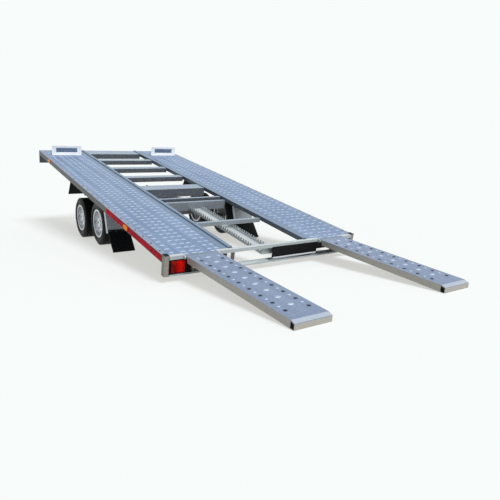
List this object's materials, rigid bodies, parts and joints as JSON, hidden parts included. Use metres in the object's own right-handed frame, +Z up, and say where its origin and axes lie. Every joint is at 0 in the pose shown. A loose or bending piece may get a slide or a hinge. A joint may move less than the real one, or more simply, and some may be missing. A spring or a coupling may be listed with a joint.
{
  "type": "car carrier trailer",
  "caption": "Tandem-axle tilt-bed trailer with two sheet-steel wheel tracks, loading ramps, wheel stops, a drawbar with ball coupling and a jockey wheel.",
  "frame": {"origin": "on the ground, midway along the trailer's length with its ramps out and midway across it", "axes": "+X forward to the ball coupling, +Y to the trailer's left, +Z up"},
  "size_m": [7.1232, 2.174, 1.2065],
  "materials": {
    "deck_steel": "hot-dip galvanised sheet, blue-grey, satin",
    "rail_steel": "hot-dip galvanised, pale warm grey, satin",
    "ramp_steel": "hot-dip galvanised sheet, blue-grey, semi-bright",
    "chassis_steel": "hot-dip galvanised, pale grey, satin",
    "coupling_casting": "zinc plated casting",
    "black_steel": "black paint, satin",
    "chrome_rod": "polished",
    "tyre_rubber": "matt black rubber",
    "rim_paint": "silver paint, satin",
    "black_rubber": "matt black rubber",
    "black_plastic": "matt",
    "white_board": "white paint, satin",
    "red_film": "glossy film",
    "red_lens": "glossy moulded lens",
    "orange_lens": "glossy moulded lens"
  },
  "bodies": {
    "chassis": {"chassis_rail_left": "chassis_steel", "chassis_rail_right": "chassis_steel", "drawbar_left": "chassis_steel", "drawbar_right": "chassis_steel", "pivot_tube": "chassis_steel", "cross_tubes": "chassis_steel", "rest_buffers": "black_rubber", "axle_beam_front": "chassis_steel", "axle_beam_rear": "chassis_steel", "swing_arms_front": "chassis_steel", "swing_arms_rear": "chassis_steel", "overrun_housing": "coupling_casting", "bellows": "black_rubber", "ball_coupling": "coupling_casting", "brake_lever": "black_steel", "jockey_sleeve": "chassis_steel", "cylinder_bracket": "chassis_steel"},
    "bed": {"side_rail_left": "rail_steel", "side_rail_right": "rail_steel", "inner_rail_left": "rail_steel", "inner_rail_right": "rail_steel", "deck_left": "deck_steel", "deck_right": "deck_steel", "outriggers": "rail_steel", "cross_members": "rail_steel", "nose_plate": "rail_steel", "pivot_beam": "rail_steel", "rear_bar": "rail_steel", "rear_foot": "rail_steel", "rear_uprights": "rail_steel", "tail_lamps": "red_lens", "plate_panel": "black_plastic", "plate_rail": "chrome_rod", "step_plank": "deck_steel", "stop_boards": "white_board", "stop_frames": "rail_steel", "rear_guards": "rail_steel", "mud_flaps": "black_rubber", "front_guards": "black_rubber", "red_strips": "red_film", "side_markers": "orange_lens", "cylinder_lugs": "rail_steel"},
    "ramp_left": {"ramp_left": "ramp_steel"},
    "ramp_right": {"ramp_right": "ramp_steel"},
    "tilt_barrel": {"tilt_barrel": "black_steel"},
    "tilt_rod": {"tilt_rod": "chrome_rod"},
    "jockey_tube": {"jockey_tube": "chassis_steel"},
    "jockey_fork": {"jockey_fork": "chassis_steel"},
    "jockey_wheel": {"jockey_wheel": "tyre_rubber"},
    "wheel_front_left": {"tyre_front_left": "tyre_rubber", "rim_front_left": "rim_paint"},
    "wheel_front_right": {"tyre_front_right": "tyre_rubber", "rim_front_right": "rim_paint"},
    "wheel_rear_left": {"tyre_rear_left": "tyre_rubber", "rim_rear_left": "rim_paint"},
    "wheel_rear_right": {"tyre_rear_right": "tyre_rubber", "rim_rear_right": "rim_paint"}
  },
  "joints": [
    {"name": "bed_tilt", "type": "hinge", "parent": "chassis", "child": "bed", "pos_m": [-0.02759, 0, 0.51], "axis": [0, 1, 0], "range_deg": [0, 11.56]},
    {"name": "ramp_lift_left", "type": "hinge", "parent": "bed", "child": "ramp_left", "pos_m": [-2.14714, 0.74, 0.21528], "axis": [0, 1, 0], "range_deg": [0, 80]},
    {"name": "ramp_lift_right", "type": "hinge", "parent": "bed", "child": "ramp_right", "pos_m": [-2.14714, -0.74, 0.21528], "axis": [0, 1, 0], "range_deg": [0, 80]},
    {"name": "wheel_spin_front_left", "type": "hinge", "parent": "chassis", "child": "wheel_front_left", "pos_m": [0.80565, 0.844, 0.258], "axis": [0, 1, 0], "continuous": true},
    {"name": "wheel_spin_front_right", "type": "hinge", "parent": "chassis", "child": "wheel_front_right", "pos_m": [0.80565, -0.844, 0.258], "axis": [0, 1, 0], "continuous": true},
    {"name": "wheel_spin_rear_left", "type": "hinge", "parent": "chassis", "child": "wheel_rear_left", "pos_m": [0.09165, 0.844, 0.258], "axis": [0, 1, 0], "continuous": true},
    {"name": "wheel_spin_rear_right", "type": "hinge", "parent": "chassis", "child": "wheel_rear_right", "pos_m": [0.09165, -0.844, 0.258], "axis": [0, 1, 0], "continuous": true},
    {"name": "barrel_swing", "type": "hinge", "parent": "chassis", "child": "tilt_barrel", "pos_m": [0.39965, 0.43, 0.3], "axis": [0, 1, 0], "range_deg": [0, 14.19]},
    {"name": "rod_slide", "type": "slide", "parent": "tilt_barrel", "child": "tilt_rod", "axis": [0.4993, 0, 0.8664], "range_m": [-0.0943, 0]},
    {"name": "jockey_lift", "type": "slide", "parent": "chassis", "child": "jockey_tube", "axis": [0, 0, 1], "range_m": [0, 0.17]},
    {"name": "jockey_swivel", "type": "hinge", "parent": "jockey_tube", "child": "jockey_fork", "pos_m": [3.04965, 0.118, 0], "axis": [0, 0, 1], "continuous": true},
    {"name": "jockey_roll", "type": "hinge", "parent": "jockey_fork", "child": "jockey_wheel", "pos_m": [3.00465, 0.118, 0.1], "axis": [0, 1, 0], "continuous": true}
  ],
  "couplings": [
    {"joint": "barrel_swing", "follows": "bed_tilt", "ratio": 1.2271},
    {"joint": "rod_slide", "follows": "bed_tilt", "m_per_rad": -0.46652}
  ]
}
